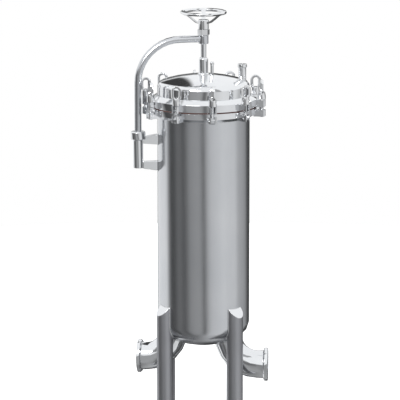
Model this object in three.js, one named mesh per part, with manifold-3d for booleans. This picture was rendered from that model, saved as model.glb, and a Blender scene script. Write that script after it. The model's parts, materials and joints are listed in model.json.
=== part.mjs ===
// Multi-cartridge filter housing: a lidded stainless vessel on four legs, closed by ten swing
// bolts, with a davit whose handwheel jacks the lid up. Millimetres, +Z up, floor at z = 0.
// Every shape is built about the vessel's axis. A bearing is an angle about that axis in
// degrees, from the front (-Y), positive towards +X.

import * as THREE from 'three';
import { mergeVertices } from 'three/addons/utils/BufferGeometryUtils.js';
import Module from 'manifold-3d';

const wasm = await Module();
wasm.setup();

// ---------------------------------------------------------------- driving sizes
const gap = 0.3;                    // air left between neighbouring pieces
const weldDistance = 1e-4;          // vertices closer than this are one vertex
const footprintOffset = 9;          // moves the vessel's axis so the footprint is centred on z

const jointPlane = 900;             // height where lid and vessel meet
const vesselRadius = 125;
const wallThickness = 3;
const dishTangent = 303;            // height where the straight wall ends
const dishDepth = 63;
const gasketThickness = 2.4;
const flangeRadius = 144;
const neckFoot = 872;               // the flange's thin neck starts here, below its hinge pins
const neckThickness = 3;

const lidFlangeThickness = 20;
const lidBevelTop = 931;
const domeTop = 985;
const crownRadius = 380;            // the lid is a torispherical head: a shallow crown and a knuckle
const knuckleRadius = 16;

const boltCount = 10;
const boltCircle = 159;
const lugWidth = 20;
const lugReach = 168.6;
const lugRoot = 138;
const slotWidth = 11;
const slotEndLid = 151.5;
const slotEndVessel = 148;
const vesselLugTop = 892;
const vesselLugHeight = 18;
const pinHeight = 881;
const pinRadius = 3.7;
const boltRadius = 5;
const boltEyeRadius = 9;
const boltTop = 937;
const eyeNutBaseRadius = 11;
const eyeNutBaseHeight = 20;
const eyeWireRadius = 4.1;
const eyeBendRadius = 10.6;         // centre line of the ring's two round ends
const eyeStraight = 12;             // length of the straight sides of the ring
const eyeCentreHeight = 33.2;       // centre of the ring above the nut's seat
// Which way each ring faces, as an angle from +X, nut by nut round from the front.
const eyeFacings = [5, 95, -2, 85, 90, 0, 80, 97, 12, 79];

const bossRadius = 12.5;
const bossTop = 1030;
const bossFootRadius = 15.5;
const spindleRadius = 7.5;
const spindleFoot = 1002;
const spindleTop = 1129;
const spindleNutBottom = 1092.4;
const spindleNutTop = 1107;
const spindleNutAcrossFlats = 29;
const hubRadius = 14.5;
const hubTop = 1133;
const wheelRimHeight = 1153;
const wheelRimRadius = 58;
const wheelWireRadius = 4.6;
const wheelTurn = -9;               // bearing about which the three spokes are set out
const spokeWidth = 11;
const spokeThickness = 5;
const spokeRootDrop = 11;           // the spokes leave the hub this far below its top
const spokeCount = 3;

const davitBearing = -90;
const davitReach = 179;
const davitBarRadius = 9.5;
const davitArmHeight = 1081;
const davitBendRadius = 117;
const davitFoot = 738;
const sleeveBottom = 733;
const sleeveTop = 810;
const sleeveRadius = 13.5;
const collarTop = 833;
const collarRadius = 20;
const armSocketBottom = 1068;
const armSocketTop = 1092;
const bracketWidth = 15;
const bracketTops = { upper: [825, 817], lower: [751, 751] };
const bracketBottoms = { upper: [796, 801], lower: [724, 733] };

const tubeRadius = 38.1;            // 3 inch sanitary tube
const tubeBore = 36.1;
const ferruleRadius = 45.5;
const ferruleThickness = 12;
const elbowBendRadius = 80;
const elbowSteps = 6;
// A pipe connection: its bearing, how far out it drops from the vessel, and the distance and
// height of its open face.
const outlet = { bearing: 78, drop: 68, face: 177, height: 183 };
const inlet = { bearing: -106, drop: 80, face: 181, height: 200 };

const legBearings = [-66, 34, 127, -135.3];
const legCircle = 125;
const legRadius = 22.2;
const legBore = 19.2;
const legBoreTop = 232;
const legTopOuter = 333;
const legTopInner = 378;
const footRadius = 38;
const footThickness = 8;

const tubeSheetBottom = 325;
const tubeSheetTop = 337;
const cartridgeCircle = 78;
const cartridgeRadius = 32.5;
const cartridgeBore = 14;
const cartridgeLength = 508;
const cartridgeCount = 5;
const holdDownThickness = 4;
const holdDownRadius = 114;
const tieRodRadius = 6;
const tieRodTop = 884;
const knobRadius = 20;
const knobHeight = 22;

const nippleRadius = 4.5;
const nipplePlace = { bearing: 50, radius: 27 };
const nippleTop = 1012;
const ventCapTop = 1021;
const socketPlace = { bearing: 84, radius: 105 };
const socketRadius = 11.5;
const socketBore = 7;
const socketTop = 1012;

const roundVessel = 40;             // facets around large turned parts
const roundFerrule = 24;
const roundTube = 20;
const roundLeg = 18;
const roundSmall = 14;
const roundBolt = 10;
const roundPin = 8;

// ---------------------------------------------------------------- solid helpers
function radians(degrees) {
  return degrees * Math.PI / 180;
}

function outward(bearing, radius) {
  return [radius * Math.sin(radians(bearing)), -radius * Math.cos(radians(bearing))];
}

function signedVolume(positions, corners) {
  let sum = 0;
  for (let i = 0; i < corners.length; i += 3) {
    const [a, b, c] = [0, 1, 2].map((k) => new THREE.Vector3().fromArray(positions, corners[i + k] * 3));
    sum += a.dot(b.cross(c));
  }
  return sum / 6;
}

// A closed three.js geometry as a manifold solid, facing out.
function asSolid(geometry) {
  const bare = new THREE.BufferGeometry();
  bare.setAttribute('position', geometry.getAttribute('position').clone());
  if (geometry.index) bare.setIndex(geometry.index.clone());
  const welded = mergeVertices(bare, weldDistance);
  const positions = welded.getAttribute('position').array;
  const corners = [];
  for (let i = 0; i < welded.index.count; i += 3) {
    const [a, b, c] = [0, 1, 2].map((k) => welded.index.getX(i + k));
    if (a !== b && b !== c && a !== c) corners.push(a, b, c);
  }
  if (signedVolume(positions, corners) < 0) corners.reverse();
  return new wasm.Manifold(new wasm.Mesh({
    numProp: 3,
    vertProperties: new Float32Array(positions),
    triVerts: new Uint32Array(corners),
  }));
}

function asGeometry(solid) {
  const mesh = solid.getMesh();
  const geometry = new THREE.BufferGeometry();
  geometry.setAttribute('position', new THREE.Float32BufferAttribute(mesh.vertProperties, 3));
  geometry.setIndex(Array.from(mesh.triVerts));
  geometry.computeVertexNormals();
  return geometry;
}

function join(...geometries) {
  return asGeometry(geometries.map(asSolid).reduce((whole, piece) => whole.add(piece)));
}

function cut(geometry, ...tools) {
  return asGeometry(tools.map(asSolid).reduce((left, tool) => left.subtract(tool), asSolid(geometry)));
}

function common(first, second) {
  return asGeometry(asSolid(first).intersect(asSolid(second)));
}

// A solid of revolution about Z from [radius, height] points. The profile starts and ends on
// the axis, or is closed on itself.
function turned(profile, facets) {
  const onAxis = profile[0][0] === 0;
  const points = (onAxis ? profile : [...profile, profile[0]]).map(([r, z]) => new THREE.Vector2(r, z));
  return new THREE.LatheGeometry(points, facets).rotateX(Math.PI / 2);
}

function ring(inner, outer, bottom, top, facets) {
  return turned([[inner, bottom], [outer, bottom], [outer, top], [inner, top]], facets);
}

function rod(radius, bottom, top, facets) {
  return turned([[0, bottom], [radius, bottom], [radius, top], [0, top]], facets);
}

// A ring with its outer edges broken by a chamfer.
function chamferedRing(inner, outer, bottom, top, chamfer, facets) {
  return turned([
    [inner, bottom], [outer - chamfer, bottom], [outer, bottom + chamfer],
    [outer, top - chamfer], [outer - chamfer, top], [inner, top],
  ], facets);
}

// Points of a quarter ellipse from the pole (on the axis) to the equator. A negative rise
// puts the pole below the equator.
function quarterEllipse(radius, rise, equator, steps) {
  const points = [];
  for (let i = 0; i <= steps; i += 1) {
    const angle = Math.PI / 2 * i / steps;
    points.push([i === 0 ? 0 : radius * Math.sin(angle), equator + rise * Math.cos(angle)]);
  }
  return points;
}

// A flat outline of [x, y] points, extruded upwards from the given height.
function slab(outline, bottom, height) {
  const shape = new THREE.Shape(outline.map(([x, y]) => new THREE.Vector2(x, y)));
  return new THREE.ExtrudeGeometry(shape, { depth: height, bevelEnabled: false }).translate(0, 0, bottom);
}

// A side profile of [outward, height] points, given a width across its bearing.
function sidePlate(outline, width, bearing) {
  const shape = new THREE.Shape(outline.map(([x, y]) => new THREE.Vector2(x, y)));
  const plate = new THREE.ExtrudeGeometry(shape, { depth: width, bevelEnabled: false });
  plate.translate(0, 0, -width / 2).rotateX(Math.PI / 2);
  return plate.rotateZ(radians(bearing - 90));
}

// Turns a shape made facing +X to face out at a bearing.
function facing(geometry, bearing) {
  return geometry.rotateZ(radians(bearing - 90));
}

// Moves a shape made on the Z axis out to a bearing and radius, turned to face outwards (+X out).
function placed(geometry, bearing, radius) {
  const [x, y] = outward(bearing, radius);
  return geometry.rotateZ(radians(bearing - 90)).translate(x, y, 0);
}

// A round bar of the given radius through flat stations [[x, z, slope in radians], ...] in the
// XZ plane, with flat ends. The slope is the direction of travel above +X.
function bentBar(stations, radius, facets) {
  const positions = [];
  const corners = [];
  for (const [x, z, slope] of stations) {
    for (let k = 0; k < facets; k += 1) {
      const angle = 2 * Math.PI * k / facets;
      const up = radius * Math.cos(angle);
      positions.push(x - up * Math.sin(slope), radius * Math.sin(angle), z + up * Math.cos(slope));
    }
  }
  for (let s = 0; s + 1 < stations.length; s += 1) {
    for (let k = 0; k < facets; k += 1) {
      const here = s * facets + k;
      const next = s * facets + (k + 1) % facets;
      corners.push(here, next, here + facets, next, next + facets, here + facets);
    }
  }
  const last = (stations.length - 1) * facets;
  for (let k = 1; k + 1 < facets; k += 1) {
    corners.push(0, k + 1, k);
    corners.push(last, last + k, last + k + 1);
  }
  const geometry = new THREE.BufferGeometry();
  geometry.setAttribute('position', new THREE.Float32BufferAttribute(positions, 3));
  geometry.setIndex(corners);
  return geometry;
}

// Stations of a circular bend about [centreX, centreZ], between two angles in radians.
function bend(centreX, centreZ, radius, from, to, steps) {
  const stations = [];
  const way = Math.sign(to - from);
  for (let i = 0; i <= steps; i += 1) {
    const angle = from + (to - from) * i / steps;
    stations.push([
      centreX + radius * Math.cos(angle),
      centreZ + radius * Math.sin(angle),
      angle + way * Math.PI / 2,
    ]);
  }
  return stations;
}

// ---------------------------------------------------------------- vessel
const dishSteps = 5;

// The vessel's outside grown by a clearance, from its pole to the joint plane.
function vesselEnvelope(clearance) {
  const radius = vesselRadius + clearance;
  return turned([
    ...quarterEllipse(radius, -dishDepth - clearance, dishTangent, dishSteps),
    [radius, jointPlane], [0, jointPlane],
  ], roundVessel);
}

// The space inside the vessel, shrunk by a clearance, up to a given height.
function vesselInterior(clearance, top) {
  const radius = vesselRadius - wallThickness - clearance;
  return turned([
    ...quarterEllipse(radius, wallThickness + clearance - dishDepth, dishTangent, dishSteps),
    [radius, top], [0, top],
  ], roundVessel);
}

function tubeOpening(port) {
  const bore = rod(tubeBore, dishTangent - 2 * dishDepth, tubeSheetBottom, roundTube);
  return placed(bore, port.bearing, port.drop);
}

function vesselShell() {
  const innerRadius = vesselRadius - wallThickness;
  const top = jointPlane - gasketThickness - 2 * gap;
  const outer = quarterEllipse(vesselRadius, -dishDepth, dishTangent, dishSteps);
  const inner = quarterEllipse(innerRadius, wallThickness - dishDepth, dishTangent, dishSteps);
  const shell = turned([
    ...outer, [vesselRadius, top], [innerRadius, top], ...inner.reverse(),
  ], roundVessel);
  return cut(shell, tubeOpening(inlet), tubeOpening(outlet));
}

// A fork lug: a flat outline with an open slot for the bolt's shank.
function forkLug(slotEnd, bottom, height) {
  const half = lugWidth / 2;
  const slot = slotWidth / 2;
  const chamfer = 3;
  return slab([
    [lugRoot, -half], [lugReach - chamfer, -half], [lugReach, chamfer - half], [lugReach, -slot],
    [slotEnd, -slot], [slotEnd, slot], [lugReach, slot], [lugReach, half - chamfer],
    [lugReach - chamfer, half], [lugRoot, half],
  ], bottom, height);
}

function hingePin() {
  const overhang = 1.5;
  const pin = rod(pinRadius, -lugWidth / 2 - overhang, lugWidth / 2 + overhang, roundPin);
  return pin.rotateX(Math.PI / 2).translate(boltCircle, 0, pinHeight);
}

function boltBearing(index) {
  return index * 360 / boltCount;
}

function vesselFlange() {
  const innerRadius = vesselRadius + gap;
  const top = jointPlane - gasketThickness - 2 * gap;
  const body = turned([
    [innerRadius, neckFoot], [innerRadius + neckThickness, neckFoot],
    [flangeRadius, pinHeight], [flangeRadius, top], [innerRadius, top],
  ], roundVessel);
  const lugs = [];
  for (let i = 0; i < boltCount; i += 1) {
    const bearing = boltBearing(i);
    lugs.push(facing(forkLug(slotEndVessel, vesselLugTop - vesselLugHeight, vesselLugHeight), bearing));
    lugs.push(facing(hingePin(), bearing));
  }
  return join(body, ...lugs);
}

function flangeGasket() {
  const bottom = jointPlane - gasketThickness - gap;
  return ring(vesselRadius - wallThickness + gap, flangeRadius - 1, bottom, jointPlane - gap, roundVessel);
}

// ---------------------------------------------------------------- lid
const knuckleCentre = vesselRadius - knuckleRadius;
const crownCentre = domeTop - crownRadius;
const skirtTop = crownCentre + Math.sqrt((crownRadius - knuckleRadius) ** 2 - knuckleCentre ** 2);
const crownSteps = 4;
const knuckleSteps = 3;

// The lid's profile from its pole down to its skirt, grown by a clearance.
function headProfile(clearance) {
  const crownEdge = Math.asin(knuckleCentre / (crownRadius - knuckleRadius));
  const crown = crownRadius + clearance;
  const knuckle = knuckleRadius + clearance;
  const points = [];
  for (let i = 0; i <= crownSteps; i += 1) {
    const angle = crownEdge * i / crownSteps;
    points.push([crown * Math.sin(angle), crownCentre + crown * Math.cos(angle)]);
  }
  for (let i = 1; i <= knuckleSteps; i += 1) {
    const angle = crownEdge + (Math.PI / 2 - crownEdge) * i / knuckleSteps;
    points.push([knuckleCentre + knuckle * Math.sin(angle), skirtTop + knuckle * Math.cos(angle)]);
  }
  return points;
}

function lidDome() {
  const innerRadius = vesselRadius - wallThickness;
  const outer = headProfile(0);
  const inner = headProfile(-wallThickness);
  const dome = turned([
    ...outer, [vesselRadius, jointPlane + gap], [innerRadius, jointPlane + gap], ...inner.reverse(),
  ], roundVessel);
  const socketHole = rod(socketBore, jointPlane, socketTop, roundSmall);
  const ventHole = rod(nippleRadius / 2, jointPlane, nippleTop, roundBolt);
  return cut(
    dome,
    placed(socketHole, socketPlace.bearing, socketPlace.radius),
    placed(ventHole, nipplePlace.bearing, nipplePlace.radius),
  );
}

function lidFlange() {
  const innerRadius = vesselRadius + gap;
  const shoulder = 2.5;
  const bottom = jointPlane + gap;
  const top = jointPlane + lidFlangeThickness;
  const body = turned([
    [innerRadius, bottom], [flangeRadius, bottom], [flangeRadius, top],
    [innerRadius + shoulder, lidBevelTop], [innerRadius, lidBevelTop],
  ], roundVessel);
  const lugs = [];
  for (let i = 0; i < boltCount; i += 1) {
    lugs.push(facing(forkLug(slotEndLid, bottom, top - bottom), boltBearing(i)));
  }
  // The lugs' tops fall away outwards, so that a tight nut can swing off them.
  const crownStart = boltCircle + 4;
  const crownFall = 1.5;
  const tip = lugReach + 2;
  const fallAway = turned([
    [crownStart, top], [tip, top - crownFall], [tip, top + 1], [crownStart, top + 1],
  ], roundVessel);
  return cut(join(body, ...lugs), fallAway);
}

// The lid's outside grown by a clearance, used to seat fittings on the dome.
function domeEnvelope(clearance) {
  return turned([
    ...headProfile(clearance), [vesselRadius + clearance, jointPlane], [0, jointPlane],
  ], roundVessel);
}

function lidBoss() {
  const chamfer = 4;
  const boss = turned([
    [0, domeTop - 2], [bossFootRadius, domeTop - 2], [bossFootRadius, domeTop + 1],
    [bossRadius, domeTop + chamfer], [bossRadius, bossTop - chamfer], [spindleRadius + 2, bossTop],
    [spindleRadius + gap, bossTop], [spindleRadius + gap, spindleFoot - gap], [0, spindleFoot - gap],
  ], roundTube);
  return cut(boss, domeEnvelope(gap));
}

function lidSpindle() {
  const chamfer = 1.2;
  return turned([
    [0, spindleFoot], [spindleRadius, spindleFoot], [spindleRadius, spindleTop - chamfer],
    [spindleRadius - chamfer, spindleTop], [0, spindleTop],
  ], roundSmall);
}

function ventNipple() {
  const nipple = ring(nippleRadius / 2, nippleRadius, skirtTop, nippleTop, roundBolt);
  return cut(placed(nipple, nipplePlace.bearing, nipplePlace.radius), domeEnvelope(gap));
}

function ventCap() {
  const bottom = nippleTop + gap;
  const crown = 3;
  const cap = turned([
    [0, bottom], [nippleRadius + 1, bottom], [nippleRadius + 1, ventCapTop - crown],
    [nippleRadius - 0.5, ventCapTop - 0.8], [0, ventCapTop],
  ], roundBolt);
  return placed(cap, nipplePlace.bearing, nipplePlace.radius);
}

function gaugeSocket() {
  const rimHeight = 9;
  const rimRadius = socketRadius + 1.2;
  const socket = turned([
    [socketBore, skirtTop], [socketRadius - 1, skirtTop], [socketRadius - 1, socketTop - rimHeight - 1],
    [rimRadius, socketTop - rimHeight], [rimRadius, socketTop - 1], [rimRadius - 1, socketTop],
    [socketBore, socketTop],
  ], roundSmall);
  return cut(placed(socket, socketPlace.bearing, socketPlace.radius), domeEnvelope(gap));
}

// ---------------------------------------------------------------- handwheel and its nut
function spindleNut() {
  const hexagon = [];
  const corner = spindleNutAcrossFlats / Math.sqrt(3);
  for (let angle = 0; angle < 360; angle += 60) {
    hexagon.push([corner * Math.cos(radians(angle)), corner * Math.sin(radians(angle))]);
  }
  const body = slab(hexagon, spindleNutBottom, spindleNutTop - spindleNutBottom);
  return cut(body, rod(spindleRadius + gap, spindleNutBottom - 1, spindleNutTop + 1, roundSmall));
}

// One dished spoke: a flat bar that leaves the hub and rises to the rim, easing into both.
function wheelSpoke(bearing) {
  const root = hubTop - spokeRootDrop;
  const rise = wheelRimHeight - spokeThickness / 2 - root;
  const reach = wheelRimRadius - hubRadius;
  const shape = [[0, 0.02], [0.2, 0.14], [0.45, 0.42], [0.75, 0.8], [1, 1]];
  const line = shape.map(([along, up]) => [hubRadius + along * reach, root + up * rise]);
  const under = [[hubRadius - 3, root], ...line];
  const over = under.map(([r, z]) => [r, z + spokeThickness]);
  return sidePlate([...under, ...over.reverse()], spokeWidth, bearing);
}

function handwheel() {
  const rimFacets = 30;
  const wireFacets = 8;
  const rim = new THREE.TorusGeometry(wheelRimRadius, wheelWireRadius, wireFacets, rimFacets)
    .translate(0, 0, wheelRimHeight);
  const hub = chamferedRing(spindleRadius + gap, hubRadius, spindleNutTop + gap, hubTop, 1.5, roundTube);
  const spokes = [];
  for (let i = 0; i < spokeCount; i += 1) {
    spokes.push(wheelSpoke(wheelTurn + (i + 0.5) * 360 / spokeCount));
  }
  const bore = rod(spindleRadius + gap, spindleNutTop - 1, hubTop + 1, roundTube);
  return cut(join(rim, hub, ...spokes), bore);
}

// ---------------------------------------------------------------- davit
function davitArm() {
  const armSteps = 10;
  const bendCentreX = davitBendRadius - davitReach;
  const stations = [
    [-spindleRadius - 2, davitArmHeight, Math.PI],
    ...bend(bendCentreX, davitArmHeight - davitBendRadius, davitBendRadius, Math.PI / 2, Math.PI, armSteps),
    [-davitReach, davitFoot, 3 * Math.PI / 2],
  ];
  const bar = bentBar(stations, davitBarRadius, roundSmall);
  const socket = chamferedRing(spindleRadius, sleeveRadius, armSocketBottom, armSocketTop, 1, roundTube);
  const bore = rod(spindleRadius + 2 * gap, armSocketBottom - 1, armSocketTop + 1, roundTube);
  return cut(join(bar, socket), bore);
}

function atDavit(geometry) {
  return placed(geometry, davitBearing, davitReach);
}

function davitCollar() {
  const bore = davitBarRadius + gap;
  return atDavit(chamferedRing(bore, collarRadius, sleeveTop + gap, collarTop, 2.5, roundTube));
}

function pivotSleeve() {
  const bore = davitBarRadius + gap;
  return atDavit(chamferedRing(bore, sleeveRadius, sleeveBottom, sleeveTop, 1, roundTube));
}

// A bracket from the vessel's wall out to the pivot sleeve, deeper at the wall. Both heights
// are [at the wall, at the sleeve].
function davitBracket(tops, bottoms) {
  const wall = vesselRadius - 5;
  const outline = [[wall, tops[0]], [davitReach, tops[1]], [davitReach, bottoms[1]], [wall, bottoms[0]]];
  const sleeveSeat = atDavit(rod(sleeveRadius + gap, bottoms[0] - 1, tops[0] + 1, roundTube));
  const collarSeat = atDavit(rod(collarRadius + gap, sleeveTop, collarTop + gap, roundTube));
  return cut(sidePlate(outline, bracketWidth, davitBearing), vesselEnvelope(gap), sleeveSeat, collarSeat);
}

// ---------------------------------------------------------------- pipe connections
function elbowStations(port, top) {
  const centre = port.drop + elbowBendRadius;
  const corner = port.height + elbowBendRadius;
  return [
    [port.drop, top, 3 * Math.PI / 2],
    ...bend(centre, corner, elbowBendRadius, Math.PI, 3 * Math.PI / 2, elbowSteps),
    [port.face - ferruleThickness - gap, port.height, 2 * Math.PI],
  ];
}

function elbow(port) {
  const top = dishTangent - wallThickness - 1;
  const outer = bentBar(elbowStations(port, top), tubeRadius, roundTube);
  const bore = bentBar(elbowStations(port, top + 1), tubeBore, roundTube);
  const mouth = rod(tubeBore, 0, 2, roundTube).rotateY(Math.PI / 2)
    .translate(port.face - ferruleThickness - gap - 1, 0, port.height);
  const pipe = facing(cut(outer, bore, mouth), port.bearing);
  return cut(pipe, vesselEnvelope(gap));
}

function ferrule(port) {
  const bevel = 3;
  const profile = [
    [tubeBore, 0], [ferruleRadius - bevel, 0], [ferruleRadius, bevel],
    [ferruleRadius, ferruleThickness - 1], [ferruleRadius - 1, ferruleThickness],
    [tubeBore, ferruleThickness],
  ];
  const body = turned(profile, roundFerrule).rotateY(Math.PI / 2)
    .translate(port.face - ferruleThickness, 0, port.height);
  return facing(body, port.bearing);
}

// ---------------------------------------------------------------- legs
// A tube leg half let into the wall, its top closed by a slanted cap.
function leg(bearing) {
  const bottom = footThickness + gap;
  const [near, far, above] = [-legRadius - 1, 2 * legRadius, legTopInner + 1];
  const tube = rod(legRadius, bottom, legTopInner, roundLeg);
  const bore = rod(legBore, bottom - 1, legBoreTop, roundLeg);
  const slant = sidePlate([
    [near, legTopInner], [legRadius, legTopOuter], [far, legTopOuter], [far, above], [near, above],
  ], 4 * legRadius, 90);
  return cut(placed(cut(tube, bore, slant), bearing, legCircle), vesselEnvelope(gap));
}

function foot(bearing) {
  return placed(rod(footRadius, 0, footThickness, roundTube), bearing, legCircle);
}

// ---------------------------------------------------------------- inside the vessel
function cartridgeBearing(index) {
  return inlet.bearing + (index + 1) * 360 / (cartridgeCount + 1);
}

function cartridgeHoles(bottom, top) {
  const holes = [];
  for (let i = 0; i < cartridgeCount; i += 1) {
    const hole = rod(cartridgeBore - 1, bottom, top, roundBolt);
    holes.push(placed(hole, cartridgeBearing(i), cartridgeCircle));
  }
  return holes;
}

function tubeSheet() {
  const disc = rod(vesselRadius - wallThickness - gap, tubeSheetBottom, tubeSheetTop, roundVessel);
  const [below, above] = [tubeSheetBottom - 1, tubeSheetTop + 1];
  const riserHole = placed(rod(tubeRadius + gap, below, above, roundTube), inlet.bearing, inlet.drop);
  const rodHole = rod(tieRodRadius + gap, below, above, roundSmall);
  return cut(disc, riserHole, rodHole, ...cartridgeHoles(below, above));
}

function inletRiser() {
  const top = tubeSheetTop + 14;
  const tube = ring(tubeBore, tubeRadius, dishTangent - dishDepth, top, roundTube);
  return common(placed(tube, inlet.bearing, inlet.drop), vesselInterior(gap, top + 1));
}

function cartridge(index) {
  const bottom = tubeSheetTop + gap;
  const body = ring(cartridgeBore, cartridgeRadius, bottom, bottom + cartridgeLength, roundSmall);
  return placed(body, cartridgeBearing(index), cartridgeCircle);
}

const holdDownBottom = tubeSheetTop + cartridgeLength + 2 * gap;
const holdDownTop = holdDownBottom + holdDownThickness;

function holdDownPlate() {
  const disc = rod(holdDownRadius, holdDownBottom, holdDownTop, roundTube);
  const [below, above] = [holdDownBottom - 1, holdDownTop + 1];
  return cut(disc, rod(tieRodRadius + gap, below, above, roundSmall), ...cartridgeHoles(below, above));
}

function tieRodKnob() {
  const bottom = holdDownTop + gap;
  return chamferedRing(tieRodRadius + gap, knobRadius, bottom, bottom + knobHeight, 2, roundSmall);
}

// ---------------------------------------------------------------- swing bolts and eye nuts
function swingBolt(bearing) {
  const barrelWidth = slotWidth - 1;
  const barrel = rod(boltEyeRadius, -barrelWidth / 2, barrelWidth / 2, roundSmall)
    .rotateX(Math.PI / 2).translate(boltCircle, 0, pinHeight);
  const shank = turned([
    [0, pinHeight], [boltRadius, pinHeight], [boltRadius, boltTop - 1], [boltRadius - 1, boltTop],
    [0, boltTop],
  ], roundBolt).translate(boltCircle, 0, 0);
  const eye = rod(pinRadius + gap, -barrelWidth, barrelWidth, roundBolt)
    .rotateX(Math.PI / 2).translate(boltCircle, 0, pinHeight);
  return facing(cut(join(barrel, shank), eye), bearing);
}

// The ring of an eye nut: two half rings joined by straight sides, standing upright.
function nutRing() {
  const bendFacets = 12;
  const wireFacets = 6;
  const halfStep = Math.PI / bendFacets;
  const wire = new THREE.TorusGeometry(eyeBendRadius, eyeWireRadius, wireFacets, bendFacets)
    .rotateZ(halfStep).rotateX(Math.PI / 2);
  const place = wire.getAttribute('position');
  for (let i = 0; i < place.count; i += 1) {
    place.setZ(i, place.getZ(i) + Math.sign(place.getZ(i)) * eyeStraight / 2);
  }
  return wire;
}

function eyeNut(bearing, ringFacing) {
  const seat = jointPlane + lidFlangeThickness + gap;
  const coneFoot = eyeNutBaseHeight / 2;
  const base = turned([
    [0, seat], [eyeNutBaseRadius, seat], [eyeNutBaseRadius, seat + coneFoot],
    [eyeNutBaseRadius - 2, seat + eyeNutBaseHeight], [0, seat + eyeNutBaseHeight],
  ], roundBolt + 2);
  const bore = rod(boltRadius + gap, seat - 1, seat + eyeNutBaseHeight + eyeWireRadius, roundBolt);
  const wire = nutRing().translate(0, 0, seat + eyeCentreHeight).rotateZ(radians(ringFacing - bearing));
  return placed(cut(join(base, wire), bore), bearing, boltCircle);
}

// ---------------------------------------------------------------- assembly
const group = new THREE.Group();
group.name = 'cartridge_filter_housing';
group.position.x = footprintOffset;

const finishes = {
  satinSteel: { color: 0xb4b7bb, roughness: 0.32, metalness: 1 },
  polishedSteel: { color: 0xd6d8da, roughness: 0.12, metalness: 1 },
  castSteel: { color: 0xc3c5c8, roughness: 0.25, metalness: 1 },
  gasketRubber: { color: 0x8a4a3c, roughness: 0.7, metalness: 0 },
  capPlastic: { color: 0x202124, roughness: 0.5, metalness: 0 },
  filterMedia: { color: 0xf1f0ea, roughness: 0.8, metalness: 0 },
};

function add(name, geometry, finish) {
  const mesh = new THREE.Mesh(geometry, new THREE.MeshStandardMaterial(finishes[finish]));
  mesh.name = name;
  group.add(mesh);
}

add('vessel_shell', vesselShell(), 'satinSteel');
add('vessel_flange', vesselFlange(), 'polishedSteel');
add('flange_gasket', flangeGasket(), 'gasketRubber');
add('lid_dome', lidDome(), 'polishedSteel');
add('lid_flange', lidFlange(), 'polishedSteel');
add('lid_boss', lidBoss(), 'polishedSteel');
add('lid_spindle', lidSpindle(), 'polishedSteel');
add('vent_nipple', ventNipple(), 'polishedSteel');
add('vent_cap', ventCap(), 'polishedSteel');
add('gauge_socket', gaugeSocket(), 'polishedSteel');
add('spindle_nut', spindleNut(), 'castSteel');
add('handwheel', handwheel(), 'castSteel');
add('davit_arm', davitArm(), 'satinSteel');
add('davit_collar', davitCollar(), 'polishedSteel');
add('pivot_sleeve', pivotSleeve(), 'polishedSteel');
add('bracket_upper', davitBracket(bracketTops.upper, bracketBottoms.upper), 'polishedSteel');
add('bracket_lower', davitBracket(bracketTops.lower, bracketBottoms.lower), 'polishedSteel');
add('inlet_elbow', elbow(inlet), 'polishedSteel');
add('inlet_ferrule', ferrule(inlet), 'polishedSteel');
add('outlet_elbow', elbow(outlet), 'polishedSteel');
add('outlet_ferrule', ferrule(outlet), 'polishedSteel');
legBearings.forEach((bearing, i) => {
  add(`leg_${i + 1}`, leg(bearing), 'satinSteel');
  add(`foot_${i + 1}`, foot(bearing), 'satinSteel');
});
add('tube_sheet', tubeSheet(), 'satinSteel');
add('inlet_riser', inletRiser(), 'satinSteel');
for (let i = 0; i < cartridgeCount; i += 1) {
  add(`cartridge_${i + 1}`, cartridge(i), 'filterMedia');
}
add('hold_down_plate', holdDownPlate(), 'satinSteel');
add('tie_rod', rod(tieRodRadius, tubeSheetBottom, tieRodTop, roundSmall), 'satinSteel');
add('tie_rod_knob', tieRodKnob(), 'capPlastic');
for (let i = 0; i < boltCount; i += 1) {
  const bearing = boltBearing(i);
  add(`swing_bolt_${i + 1}`, swingBolt(bearing), 'castSteel');
  add(`eye_nut_${i + 1}`, eyeNut(bearing, eyeFacings[i]), 'castSteel');
}

export default group;
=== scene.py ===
"""Looks for the cartridge filter housing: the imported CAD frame, finer visible pieces that ride
on it, procedural materials, a pale floor, soft studio light and the camera."""

import json
import math

import bpy
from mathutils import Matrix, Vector


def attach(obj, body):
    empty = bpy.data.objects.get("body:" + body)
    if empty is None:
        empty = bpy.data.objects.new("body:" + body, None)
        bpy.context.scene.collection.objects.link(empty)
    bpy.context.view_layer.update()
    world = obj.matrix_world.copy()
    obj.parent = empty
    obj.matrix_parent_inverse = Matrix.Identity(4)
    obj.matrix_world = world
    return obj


# ---------------------------------------------------------------- sizes in metres, angles in degrees
# The vessel's axis stands at (AXIS_X, 0), and bearings turn from -Y, the front, towards +X.
AXIS_X = 0.009
WALL_RADIUS = 0.125
DISH_TANGENT = 0.303
DISH_DEPTH = 0.063
CLEARANCE = 0.0003

LEG_BEARINGS = (-66, 34, 127, -135.3)
LEG_CIRCLE = 0.125
LEG_RADIUS = 0.0222
# A leg's slanted top: distance outwards from the leg's axis and height, at each end of the slant.
LEG_TOP_INNER = (-0.0232, 0.378)
LEG_TOP_OUTER = (0.0222, 0.333)
LEG_CAP_THICKNESS = 0.0012

TUBE_RADIUS = 0.0381
# Each pipe's bearing, where it drops from the dish, and the distance and height of its open face.
PORTS = {"outlet": (78, 0.068, 0.177, 0.183), "inlet": (-106, 0.080, 0.181, 0.200)}
FERRULE_THICKNESS = 0.012

DAVIT_BEARING = -90
DAVIT_REACH = 0.179
SLEEVE_RADIUS = 0.0135
BRACKET_HALF_WIDTH = 0.0075
# Each bracket's top and bottom heights, at the wall and at the sleeve.
BRACKETS = {"upper": ((0.825, 0.817), (0.796, 0.801)), "lower": ((0.751, 0.751), (0.724, 0.733))}

CROWN_TOP = 0.985
CROWN_RADIUS = 0.380
NECK_HEIGHT = 0.8715

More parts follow.
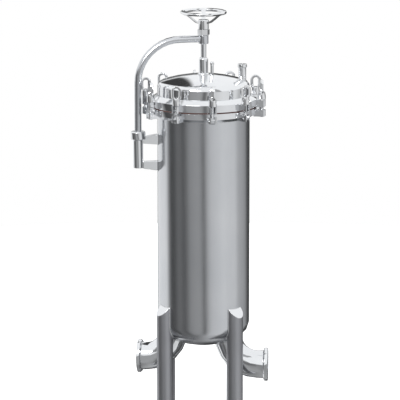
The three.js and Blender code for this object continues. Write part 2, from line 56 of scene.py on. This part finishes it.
# Fittings that stand on the lid: name, bearing, distance from the axis and radius.
FITTINGS = (("boss", 0, 0, 0.0158), ("socket", 84, 0.105, 0.0107), ("nipple", 50, 0.027, 0.0047))

# Weld beads: the radius at each kind of join, and the ripples along every bead.
PORT_BEAD = 0.0011
LEG_BEAD = 0.0014
FERRULE_BEAD = 0.0007
BRACKET_BEAD = 0.0009
NECK_BEAD = 0.0009
FITTING_BEAD = 0.0008
RIPPLE_LENGTH = 0.0022
RIPPLE_DEPTH = 0.14
BEAD_STEP = 0.0007
BEAD_SIDES = 8
# How finely a ring (in degrees), the corner under a leg's top and a leg cap's outline are divided.
RING_STEP = 6
CORNER_STEPS = 14
CAP_STEPS = 20

# FRAME_WIDTH is how much the picture takes in at the object's distance.
CAMERA_AZIMUTH = -8.8
CAMERA_ELEVATION = 10.5
CAMERA_DISTANCE = 9.0
FRAME_WIDTH = 1.088
SENSOR_WIDTH = 36.0
CLIP_DISTANCE = 100
AIM_HEIGHT = 0.639
AIM_LEFT = 0.0095

WELD_DISTANCE = 1e-5
EDGE_ROUNDING = 0.0005
BRACKET_ROUNDING = 0.003
EDGE_ANGLE = 33
NORMAL_WEIGHT = 60

# The part of its 0 to 1 range that a noise value mostly keeps to.
NOISE_LOW = 0.3
NOISE_HIGH = 0.7

# Steel's fine grain and its broad patches of tone.
GRAIN_SCALE = 60
GRAIN_DETAIL = 5
GRAIN_STRENGTH = 0.6
PATCH_SCALE = 9
PATCH_STRETCH = (1, 1, 0.6)
PATCH_DETAIL = 3


# ---------------------------------------------------------------- node helpers
def new_material(name):
    material = bpy.data.materials.new(name)
    material.use_nodes = True
    nodes = material.node_tree.nodes
    return material, material.node_tree, nodes["Principled BSDF"]


def link(tree, source, target):
    tree.links.new(source, target)


def object_noise(tree, scale, stretch=(1, 1, 1), detail=4.0):
    """A noise texture's value in object space, stretched per axis."""
    place = tree.nodes.new("ShaderNodeTexCoord")
    mapping = tree.nodes.new("ShaderNodeMapping")
    mapping.inputs["Scale"].default_value = stretch
    noise = tree.nodes.new("ShaderNodeTexNoise")
    noise.inputs["Scale"].default_value = scale
    noise.inputs["Detail"].default_value = detail
    link(tree, place.outputs["Object"], mapping.inputs["Vector"])
    link(tree, mapping.outputs["Vector"], noise.inputs["Vector"])
    return noise.outputs["Fac"]


def remap(tree, value, low, high):
    """A noise value, spread between low and high."""
    node = tree.nodes.new("ShaderNodeMapRange")
    node.inputs["From Min"].default_value = NOISE_LOW
    node.inputs["From Max"].default_value = NOISE_HIGH
    node.inputs["To Min"].default_value = low
    node.inputs["To Max"].default_value = high
    link(tree, value, node.inputs["Value"])
    return node.outputs["Result"]


def two_tone(tree, value, dark, light):
    """A colour between dark and light, by a noise value."""
    ramp = tree.nodes.new("ShaderNodeValToRGB")
    ramp.color_ramp.elements[0].position = NOISE_LOW
    ramp.color_ramp.elements[0].color = (*dark, 1)
    ramp.color_ramp.elements[1].position = NOISE_HIGH
    ramp.color_ramp.elements[1].color = (*light, 1)
    link(tree, value, ramp.inputs["Fac"])
    return ramp.outputs["Color"]


def bumped(tree, shader, height, distance, strength=1.0):
    bump = tree.nodes.new("ShaderNodeBump")
    bump.inputs["Strength"].default_value = strength
    bump.inputs["Distance"].default_value = distance
    link(tree, height, bump.inputs["Height"])
    link(tree, bump.outputs["Normal"], shader.inputs["Normal"])


# ---------------------------------------------------------------- materials
def steel(name, dark, light, smooth, rough, grain_stretch, grain_depth):
    """Stainless steel with a fine grain, patchy tone and slightly uneven gloss."""
    material, tree, shader = new_material(name)
    shader.inputs["Metallic"].default_value = 1.0
    grain = object_noise(tree, GRAIN_SCALE, grain_stretch, GRAIN_DETAIL)
    patches = object_noise(tree, PATCH_SCALE, PATCH_STRETCH, PATCH_DETAIL)
    link(tree, two_tone(tree, patches, dark, light), shader.inputs["Base Color"])
    link(tree, remap(tree, grain, smooth, rough), shader.inputs["Roughness"])
    bumped(tree, shader, grain, grain_depth, GRAIN_STRENGTH)
    return material


def threaded_steel():
    """Polished bar with a fine trapezoidal thread, as ridges round Z. Its base colour is painted darker in
    the thread's grooves and lighter on its crests, as painted shade and painted highlight.
    """
    material, tree, shader = new_material("threaded_steel")
    shader.inputs["Metallic"].default_value = 1.0
    place = tree.nodes.new("ShaderNodeTexCoord")
    wave = tree.nodes.new("ShaderNodeTexWave")
    wave.bands_direction = "Z"
    wave.inputs["Scale"].default_value = 78.0
    link(tree, place.outputs["Object"], wave.inputs["Vector"])
    # Painted shade in the thread's grooves and painted highlight on its crests: the colour follows the same
    # waves as the bump.
    link(tree, two_tone(tree, wave.outputs["Fac"], (0.42, 0.43, 0.45), (0.78, 0.79, 0.8)),
         shader.inputs["Base Color"])
    link(tree, remap(tree, object_noise(tree, 400), 0.14, 0.24), shader.inputs["Roughness"])
    bumped(tree, shader, wave.outputs["Fac"], 0.0006, 0.7)
    return material


def moulded(name, scale, dark, light, smooth, rough, depth):
    """Rubber or plastic with a fine, matt skin."""
    material, tree, shader = new_material(name)
    fine = object_noise(tree, scale)
    link(tree, two_tone(tree, fine, dark, light), shader.inputs["Base Color"])
    link(tree, remap(tree, fine, smooth, rough), shader.inputs["Roughness"])
    bumped(tree, shader, fine, depth)
    return material


def filter_media():
    """Melt-blown polypropylene: soft white fibre wound on the slant."""
    material, tree, shader = new_material("filter_media")
    place = tree.nodes.new("ShaderNodeTexCoord")
    wave = tree.nodes.new("ShaderNodeTexWave")
    wave.bands_direction = "DIAGONAL"
    wave.inputs["Scale"].default_value = 55.0
    wave.inputs["Distortion"].default_value = 3.0
    wave.inputs["Detail"].default_value = 3.0
    link(tree, place.outputs["Object"], wave.inputs["Vector"])
    link(tree, two_tone(tree, wave.outputs["Fac"], (0.78, 0.77, 0.73), (0.9, 0.9, 0.87)),
         shader.inputs["Base Color"])
    shader.inputs["Roughness"].default_value = 0.9
    bumped(tree, shader, wave.outputs["Fac"], 0.0008)
    return material


def all_materials():
    return {
        "satin_steel": steel("satin_steel", (0.60, 0.615, 0.64), (0.66, 0.67, 0.69),
                             0.17, 0.24, (14, 14, 0.25), 0.00001),
        "polished_steel": steel("polished_steel", (0.77, 0.78, 0.80), (0.83, 0.84, 0.85),
                                0.055, 0.11, (3, 3, 3), 0.000006),
        "cast_steel": steel("cast_steel", (0.78, 0.785, 0.80), (0.87, 0.875, 0.88),
                            0.07, 0.13, (9, 9, 9), 0.00003),
        # Legs and feet: the higher roughness is their real satin finish, but the base colour, far darker
        # than the other steels, is painted shade.
        "painted_shade_leg_steel": steel("painted_shade_leg_steel", (0.36, 0.365, 0.385), (0.42, 0.425, 0.445),
                           0.36, 0.46, (30, 30, 0.8), 0.00002),
        "weld_steel": steel("weld_steel", (0.74, 0.75, 0.76), (0.84, 0.845, 0.85),
                            0.12, 0.22, (20, 20, 20), 0.00008),
        "threaded_steel": threaded_steel(),
        "gasket_rubber": moulded("gasket_rubber", 900, (0.075, 0.035, 0.03), (0.13, 0.055, 0.045),
                                 0.6, 0.75, 0.0001),
        "cap_plastic": moulded("cap_plastic", 1200, (0.012, 0.012, 0.014), (0.024, 0.024, 0.027),
                               0.38, 0.5, 0.00008),
        "filter_media": filter_media(),
    }


# ---------------------------------------------------------------- carried-over CAD nodes
def soften(obj, rounding=EDGE_ROUNDING):
    """Smooth shading with small rounded edges, as modifiers, so the CAD vertices stay as they are."""
    mesh = obj.data
    if "custom_normal" in mesh.attributes:
        mesh.attributes.remove(mesh.attributes["custom_normal"])
    mesh.shade_smooth()
    weld = obj.modifiers.new("weld", "WELD")
    weld.merge_threshold = WELD_DISTANCE
    bevel = obj.modifiers.new("rounding", "BEVEL")
    bevel.width = rounding
    bevel.segments = 2
    bevel.limit_method = "ANGLE"
    bevel.angle_limit = math.radians(EDGE_ANGLE)
    bevel.harden_normals = False
    obj.modifiers.new("normals", "WEIGHTED_NORMAL").weight = NORMAL_WEIGHT


def finish_of(node, record):
    for part in record["subparts"]:
        if part["node"] == node:
            return part["material_slot"]
    return "polished_steel"


def shown_finish(node, slot):
    """The material a node shows: its record slot's, or a closer variant of it. Legs and feet take a steel
    whose much darker base colour is painted shade.
    """
    if node.startswith("swing_bolt"):
        return "threaded_steel"
    if node.startswith(("leg_", "foot_")):
        return "painted_shade_leg_steel"
    return slot


def dress_frame(frame, materials):
    for name, obj in frame["nodes"].items():
        slot = finish_of(name, frame["record"])
        shown = shown_finish(name, slot)
        obj.data.materials.clear()
        obj.data.materials.append(materials[shown])
        soften(obj, BRACKET_ROUNDING if name.startswith("bracket") else EDGE_ROUNDING)


# ---------------------------------------------------------------- welds
def spot(bearing, out, across, height):
    """A point given by its distance from the vessel's axis along and across a bearing."""
    angle = math.radians(bearing)
    x = out * math.sin(angle) + across * math.cos(angle)
    y = across * math.sin(angle) - out * math.cos(angle)
    return Vector((AXIS_X + x, y, height))


def dish_height(radius):
    """How high the vessel's bottom dish is at a distance from its axis."""
    return DISH_TANGENT - DISH_DEPTH * math.sqrt(max(0.0, 1 - (radius / WALL_RADIUS) ** 2))


def evenly(points):
    """Points at an even small step along a closed path."""
    points = points + [points[0]]
    laid = [points[0].copy()]
    left = BEAD_STEP
    for start, end in zip(points, points[1:]):
        length = (end - start).length
        while left <= length:
            laid.append(start.lerp(end, left / length))
            left += BEAD_STEP
        left -= length
    if (laid[-1] - laid[0]).length < BEAD_STEP / 2:
        laid.pop()
    return laid


def mesh_piece(name, vertices, faces, material, body):
    mesh = bpy.data.meshes.new(name)
    mesh.from_pydata([tuple(v) for v in vertices], [], faces)
    mesh.update()
    obj = bpy.data.objects.new(name, mesh)
    bpy.context.scene.collection.objects.link(obj)
    mesh.materials.append(material)
    mesh.shade_smooth()
    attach(obj, body)
    return obj


def weld_bead(name, points, body, material, radius):
    """A rippled bead of weld metal along a closed path."""
    path = evenly(points)
    count = len(path)
    side = Vector((0, 0, 1))
    vertices, faces = [], []
    for i, centre in enumerate(path):
        along = (path[(i + 1) % count] - path[i - 1]).normalized()
        side = side - along * side.dot(along)
        if side.length < 1e-3:
            side = along.orthogonal()
        side = side.normalized()
        over = along.cross(side)
        swell = radius * (1 + RIPPLE_DEPTH * math.sin(math.tau * i * BEAD_STEP / RIPPLE_LENGTH))
        for k in range(BEAD_SIDES):
            turn = math.tau * k / BEAD_SIDES
            vertices.append(centre + (side * math.cos(turn) + over * math.sin(turn)) * swell)
    for i in range(count):
        for k in range(BEAD_SIDES):
            here, there = i * BEAD_SIDES, (i + 1) % count * BEAD_SIDES
            following = (k + 1) % BEAD_SIDES
            faces.append((here + k, here + following, there + following, there + k))
    mesh_piece(name, vertices, faces, material, body)


def leg_slant(out):
    """Height of a leg's slanted top at a distance outwards from the leg's own axis."""
    (inner, high), (outer, low) = LEG_TOP_INNER, LEG_TOP_OUTER
    return high + (low - high) * (out - inner) / (outer - inner)


def leg_seam(bearing):
    """The closed line where a leg meets the vessel: up one side, over its top and down the other."""
    rising = []
    for i in range(CORNER_STEPS + 1):
        wall = LEG_CIRCLE - LEG_RADIUS + LEG_RADIUS * math.sin(math.pi / 2 * i / CORNER_STEPS)
        out = (wall ** 2 - LEG_CIRCLE ** 2 - LEG_RADIUS ** 2) / (2 * LEG_CIRCLE)
        out = max(out, -LEG_RADIUS)
        across = math.sqrt(max(0.0, LEG_RADIUS ** 2 - out ** 2))
        rising.append((out, across, dish_height(wall)))
    out, across, _ = rising[-1]
    rising.append((out, across, leg_slant(out)))
    over = []
    for i in range(1, CORNER_STEPS):
        side = across * (1 - 2 * i / CORNER_STEPS)
        wall_out = math.sqrt(WALL_RADIUS ** 2 - side ** 2) - LEG_CIRCLE
        over.append((wall_out, side, leg_slant(wall_out)))
    falling = [(o, -a, z) for o, a, z in reversed(rising)]
    seam = rising + over + falling[:-1]
    return [spot(bearing, LEG_CIRCLE + o + CLEARANCE, a, z) for o, a, z in seam]


def leg_cap(name, bearing, material):
    """The polished plate that closes a leg's slanted top."""
    out = -(LEG_RADIUS ** 2) / (2 * LEG_CIRCLE)
    start = math.acos(out / LEG_RADIUS)
    outline = []
    for i in range(CAP_STEPS + 1):
        angle = start * (1 - 2 * i / CAP_STEPS)
        outline.append((LEG_RADIUS * math.cos(angle), LEG_RADIUS * math.sin(angle)))
    for i in range(1, CAP_STEPS // 2):
        side = outline[CAP_STEPS][1] * (1 - 4 * i / CAP_STEPS)
        outline.append((math.sqrt(WALL_RADIUS ** 2 - side ** 2) - LEG_CIRCLE + CLEARANCE, side))
    count = len(outline)
    lifts = (CLEARANCE / 2, CLEARANCE + LEG_CAP_THICKNESS)
    vertices = [spot(bearing, LEG_CIRCLE + o, a, leg_slant(o) + lift) for lift in lifts for o, a in outline]
    faces = [tuple(range(count)), tuple(range(2 * count - 1, count - 1, -1))]
    faces += [(i, i + count, (i + 1) % count + count, (i + 1) % count) for i in range(count)]
    cap = mesh_piece(name, vertices, faces, material, "vessel")
    bevel = cap.modifiers.new("rounding", "BEVEL")
    bevel.width = LEG_CAP_THICKNESS / 2
    bevel.segments = 3
    bevel.limit_method = "ANGLE"
    bevel.angle_limit = math.radians(EDGE_ANGLE)


def port_seam(bearing, drop):
    """The line where a pipe runs into the vessel's dish."""
    seam = []
    for degrees in range(0, 360, RING_STEP):
        out = drop + (TUBE_RADIUS + CLEARANCE) * math.cos(math.radians(degrees))
        across = (TUBE_RADIUS + CLEARANCE) * math.sin(math.radians(degrees))
        seam.append(spot(bearing, out, across, dish_height(math.hypot(out, across)) - CLEARANCE))
    return seam


def ferrule_seam(bearing, face, height):
    """The line round a pipe just behind its end ferrule."""
    out = face - FERRULE_THICKNESS - CLEARANCE
    ring = []
    for degrees in range(0, 360, RING_STEP):
        turn = math.radians(degrees)
        radius = TUBE_RADIUS + CLEARANCE
        ring.append(spot(bearing, out, radius * math.sin(turn), height + radius * math.cos(turn)))
    return ring


def level_ring(bearing, out, radius, height):
    """A level circle about a point at a bearing and distance from the axis."""
    turns = [math.radians(degrees) for degrees in range(0, 360, RING_STEP)]
    return [spot(bearing, out + radius * math.cos(t), radius * math.sin(t), height) for t in turns]


def bracket_seam(tops, bottoms, at_wall):
    """The line round a bracket's end, on the vessel's wall or on the pivot sleeve."""
    half = BRACKET_HALF_WIDTH
    if at_wall:
        reach = math.sqrt(WALL_RADIUS ** 2 - half ** 2) + CLEARANCE
        top, bottom = tops[0], bottoms[0]
    else:
        reach = DAVIT_REACH - math.sqrt(SLEEVE_RADIUS ** 2 - half ** 2) - CLEARANCE
        top, bottom = tops[1], bottoms[1]
    corners = ((-half, top), (half, top), (half, bottom), (-half, bottom))
    return [spot(DAVIT_BEARING, reach, across, height) for across, height in corners]


def crown_height(radius):
    return CROWN_TOP - CROWN_RADIUS + math.sqrt(CROWN_RADIUS ** 2 - radius ** 2)


def fitting_seam(bearing, out, radius):
    """The line where an upright fitting meets the lid's crown."""
    ring = level_ring(bearing, out, radius, 0)
    for point in ring:
        point.z = crown_height(math.hypot(point.x - AXIS_X, point.y)) + CLEARANCE
    return ring


def leg_welds(weld, plate):
    for i, bearing in enumerate(LEG_BEARINGS, 1):
        weld_bead(f"weld_leg_{i}", leg_seam(bearing), "vessel", weld, LEG_BEAD)
        leg_cap(f"leg_cap_{i}", bearing, plate)


def port_welds(weld):
    for port, (bearing, drop, face, height) in PORTS.items():
        weld_bead(f"weld_{port}_dish", port_seam(bearing, drop), "vessel", weld,
                  PORT_BEAD)
        weld_bead(f"weld_{port}_ferrule", ferrule_seam(bearing, face, height), "vessel", weld,
                  FERRULE_BEAD)


def bracket_welds(weld):
    for bracket, (tops, bottoms) in BRACKETS.items():
        for end, at_wall in (("wall", True), ("sleeve", False)):
            weld_bead(f"weld_bracket_{bracket}_{end}", bracket_seam(tops, bottoms, at_wall),
                      "vessel", weld, BRACKET_BEAD)


def lid_welds(weld):
    for fitting, bearing, out, radius in FITTINGS:
        weld_bead(f"weld_{fitting}", fitting_seam(bearing, out, radius), "lid", weld,
                  FITTING_BEAD)


def all_welds(materials):
    weld = materials["weld_steel"]
    leg_welds(weld, materials["polished_steel"])
    port_welds(weld)
    bracket_welds(weld)
    weld_bead("weld_flange_neck", level_ring(0, 0, WALL_RADIUS + NECK_BEAD, NECK_HEIGHT), "vessel",
              weld, NECK_BEAD)
    lid_welds(weld)


# ---------------------------------------------------------------- studio
def smooth_step(tree, value, start, end):
    """0 up to start and 1 from end, with a smooth rise between."""
    node = tree.nodes.new("ShaderNodeMapRange")
    node.interpolation_type = "SMOOTHSTEP"
    node.inputs["From Min"].default_value = start
    node.inputs["From Max"].default_value = end
    link(tree, value, node.inputs["Value"])
    return node.outputs["Result"]


def math_node(tree, operation, *values):
    node = tree.nodes.new("ShaderNodeMath")
    node.operation = operation
    for slot, value in enumerate(values):
        if isinstance(value, (int, float)):
            node.inputs[slot].default_value = value
        else:
            link(tree, value, node.inputs[slot])
    return node.outputs["Value"]


def mixed(tree, factor, first, second):
    """first where factor is 0 and second where it is 1."""
    node = tree.nodes.new("ShaderNodeMix")
    link(tree, factor, node.inputs["Factor"])
    link(tree, first, node.inputs["A"])
    if isinstance(second, (int, float)):
        node.inputs["B"].default_value = second
    else:
        link(tree, second, node.inputs["B"])
    return node.outputs["Result"]


def window(tree, value, low, high, edge):
    """1 between low and high, fading to 0 over edge on either side."""
    rise = smooth_step(tree, value, low - edge, low + edge)
    fall = smooth_step(tree, value, high + edge, high - edge)
    return math_node(tree, "MULTIPLY", rise, fall)


def darkened(tree, level, flag, darkness):
    """level, lowered by a share of darkness where flag is 1."""
    keep = math_node(tree, "SUBTRACT", 1.0, math_node(tree, "MULTIPLY", flag, darkness))
    return math_node(tree, "MULTIPLY", level, keep)


# Studio walls by bearing from the camera, degrees to the right: (bearing, brightness).
STUDIO_WALLS = (
    (-180, 0.14), (-169, 0.20), (-161, 0.98), (-106, 0.95), (-98, 0.30), (-90, 0.07), (-78, 0.09),
    (-67, 0.20), (-57, 0.17), (-50, 0.10), (-42, 0.20), (-34, 0.34), (-12, 0.40), (-6, 0.36),
    (-1, 0.16), (4, 0.20), (9, 0.50), (18, 0.68), (50, 0.84), (86, 0.80), (98, 0.55), (118, 0.46),
    (132, 0.34), (141, 0.08), (180, 0.06),
)
# Above this elevation the walls give way to the white ceiling: (start, end), degrees.
CEILING_EDGE = (7, 13)
CEILING_LEVEL = 1.05
# Below this elevation the walls give way to a grey floor, lighter to the right: (start, end),
# degrees, and the brightness of its left and right.
FLOOR_EDGE = (-45, -70)
FLOOR_LEVELS = (0.20, 0.62)
FLOOR_SPREAD = 0.3
# Dark flags hung behind the object: (angles to the right, elevations, darkness), degrees, and how
# far their sideways and upper edges fade.
STUDIO_FLAGS = (
    ((-18, -4), (13, 63), 0.95),
)
STUDIO_FLAG_EDGES = (1, 2)
BEHIND_EDGE = (-0.05, 0.1)
# Other dark flags, above and below the front and right walls, by bearing: (bearings, elevations,
# darkness), and how far their edges fade.
FRONT_FLAGS = (
    ((-60, -30), (14, 34), 0.75),
    ((28, 44), (5, 60), 0.6),
    ((60, 120), (-75, -20), 0.85),
)
FRONT_FLAG_EDGES = (2.5, 4)
ROOM_TINT = (0.98, 0.99, 1.0, 1)

FLOOR_DISC_RADIUS = 3.0
FLOOR_DISC_DROP = 0.0005
FLOOR_DISC_SIDES = 96
KEY_PLACE = (-1.6, -2.6, 2.6)
KEY_AIM = (0, 0, 0.8)
KEY_SIZE = (1.4, 1.0)
KEY_POWER = 60


def degrees_of(tree, operation, *values):
    return math_node(tree, "MULTIPLY", math_node(tree, operation, *values), 180 / math.pi)


def room_direction(tree):
    """The direction looked in, as X to the right of the photograph's camera, Y away from it and Z up."""
    place = tree.nodes.new("ShaderNodeTexCoord")
    turn = tree.nodes.new("ShaderNodeVectorRotate")
    turn.rotation_type = "Z_AXIS"
    turn.inputs["Angle"].default_value = -math.radians(CAMERA_AZIMUTH)
    link(tree, place.outputs["Generated"], turn.inputs["Vector"])
    split = tree.nodes.new("ShaderNodeSeparateXYZ")
    link(tree, turn.outputs["Vector"], split.inputs["Vector"])
    return split.outputs["X"], split.outputs["Y"], split.outputs["Z"]


def wall_level(tree, bearing):
    """The studio walls' brightness at a bearing."""
    ramp = tree.nodes.new("ShaderNodeValToRGB")
    elements = ramp.color_ramp.elements
    for _ in range(len(STUDIO_WALLS) - 2):
        elements.new(0.5)
    for element, (angle, level) in zip(elements, STUDIO_WALLS):
        element.position = angle / 360 + 0.5
        element.color = (level, level, level, 1)
    along = math_node(tree, "ADD", math_node(tree, "DIVIDE", bearing, 360.0), 0.5)
    link(tree, along, ramp.inputs["Fac"])
    walls = tree.nodes.new("ShaderNodeSeparateColor")
    link(tree, ramp.outputs["Color"], walls.inputs["Color"])
    return walls.outputs["Green"]


def floor_level(tree, right):
    """The reflected floor's brightness, from left to right."""
    across = smooth_step(tree, right, -FLOOR_SPREAD, FLOOR_SPREAD)
    slope = math_node(tree, "MULTIPLY", across, FLOOR_LEVELS[1] - FLOOR_LEVELS[0])
    return math_node(tree, "ADD", slope, FLOOR_LEVELS[0])


def flagged(tree, level, right, away, bearing, elevation):
    """level, darkened by the flags."""
    sideways = degrees_of(tree, "ARCSINE", right)
    behind = smooth_step(tree, away, *BEHIND_EDGE)
    for sides, heights, darkness in STUDIO_FLAGS:
        flag = math_node(tree, "MULTIPLY", window(tree, sideways, *sides, STUDIO_FLAG_EDGES[0]),
                         window(tree, elevation, *heights, STUDIO_FLAG_EDGES[1]))
        level = darkened(tree, level, math_node(tree, "MULTIPLY", flag, behind), darkness)
    for bearings, heights, darkness in FRONT_FLAGS:
        flag = math_node(tree, "MULTIPLY", window(tree, bearing, *bearings, FRONT_FLAG_EDGES[0]),
                         window(tree, elevation, *heights, FRONT_FLAG_EDGES[1]))
        level = darkened(tree, level, flag, darkness)
    return level


def studio_world():
    """A white room with grey walls and dark flags for the steel to reflect, plain white to the camera."""
    world = bpy.data.worlds.new("studio")
    bpy.context.scene.world = world
    world.use_nodes = True
    tree = world.node_tree
    tree.nodes.clear()
    right, away, up = room_direction(tree)
    bearing = degrees_of(tree, "ARCTAN2", right, math_node(tree, "MULTIPLY", away, -1.0))
    elevation = degrees_of(tree, "ARCSINE", up)
    level = wall_level(tree, bearing)
    level = mixed(tree, smooth_step(tree, elevation, *CEILING_EDGE), level, CEILING_LEVEL)
    level = mixed(tree, smooth_step(tree, elevation, *FLOOR_EDGE), level, floor_level(tree, right))
    level = flagged(tree, level, right, away, bearing, elevation)
    room = tree.nodes.new("ShaderNodeBackground")
    room.inputs["Color"].default_value = ROOM_TINT
    link(tree, level, room.inputs["Strength"])
    plain = tree.nodes.new("ShaderNodeBackground")
    plain.inputs["Color"].default_value = (1, 1, 1, 1)
    path = tree.nodes.new("ShaderNodeLightPath")
    choose = tree.nodes.new("ShaderNodeMixShader")
    link(tree, path.outputs["Is Camera Ray"], choose.inputs["Fac"])
    link(tree, room.outputs["Background"], choose.inputs[1])
    link(tree, plain.outputs["Background"], choose.inputs[2])
    output = tree.nodes.new("ShaderNodeOutputWorld")
    link(tree, choose.outputs["Shader"], output.inputs["Surface"])


def pale_floor():
    """The floor under the object. Glossy surfaces don't show it, because they show the studio's own."""
    material, tree, shader = new_material("pale_floor")
    shader.inputs["Base Color"].default_value = (0.9, 0.9, 0.9, 1)
    shader.inputs["Roughness"].default_value = 0.9
    shader.inputs["Emission Color"].default_value = (1, 1, 1, 1)
    shader.inputs["Emission Strength"].default_value = 0.5
    bpy.ops.mesh.primitive_circle_add(vertices=FLOOR_DISC_SIDES, radius=FLOOR_DISC_RADIUS, fill_type="NGON",
                                      location=(0, 0, -FLOOR_DISC_DROP))
    floor = bpy.context.object
    floor.name = "floor"
    floor.data.materials.append(material)
    floor.visible_glossy = False


def soft_box(name, place, aim, size, power):
    data = bpy.data.lights.new(name, "AREA")
    data.shape = "RECTANGLE"
    data.size, data.size_y = size
    data.energy = power
    lamp = bpy.data.objects.new(name, data)
    lamp.location = place
    lamp.rotation_euler = (Vector(aim) - Vector(place)).to_track_quat("-Z", "Y").to_euler()
    bpy.context.scene.collection.objects.link(lamp)


def photo_camera():
    azimuth = math.radians(CAMERA_AZIMUTH)
    elevation = math.radians(CAMERA_ELEVATION)
    level = math.cos(elevation)
    back = Vector((math.sin(azimuth) * level, -math.cos(azimuth) * level, math.sin(elevation)))
    right = Vector((math.cos(azimuth), math.sin(azimuth), 0))
    aim = Vector((AXIS_X, 0, AIM_HEIGHT)) - right * AIM_LEFT
    data = bpy.data.cameras.new("camera")
    data.sensor_width = SENSOR_WIDTH
    data.lens = SENSOR_WIDTH * CAMERA_DISTANCE / FRAME_WIDTH
    data.clip_end = CLIP_DISTANCE
    camera = bpy.data.objects.new("camera", data)
    camera.location = aim + back * CAMERA_DISTANCE
    camera.rotation_euler = (-back).to_track_quat("-Z", "Y").to_euler()
    bpy.context.scene.collection.objects.link(camera)
    bpy.context.scene.camera = camera


# ---------------------------------------------------------------- build
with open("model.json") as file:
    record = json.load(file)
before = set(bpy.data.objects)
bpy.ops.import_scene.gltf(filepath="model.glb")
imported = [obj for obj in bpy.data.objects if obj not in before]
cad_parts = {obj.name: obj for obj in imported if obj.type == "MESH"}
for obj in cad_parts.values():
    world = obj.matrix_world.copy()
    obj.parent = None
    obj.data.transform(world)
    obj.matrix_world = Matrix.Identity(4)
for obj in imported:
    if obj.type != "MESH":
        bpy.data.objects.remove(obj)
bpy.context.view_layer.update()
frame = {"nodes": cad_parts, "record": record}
finishes = all_materials()
dress_frame(frame, finishes)
all_welds(finishes)
studio_world()
pale_floor()
soft_box("key", KEY_PLACE, KEY_AIM, KEY_SIZE, KEY_POWER)
photo_camera()
bpy.context.scene.view_settings.view_transform = "Standard"
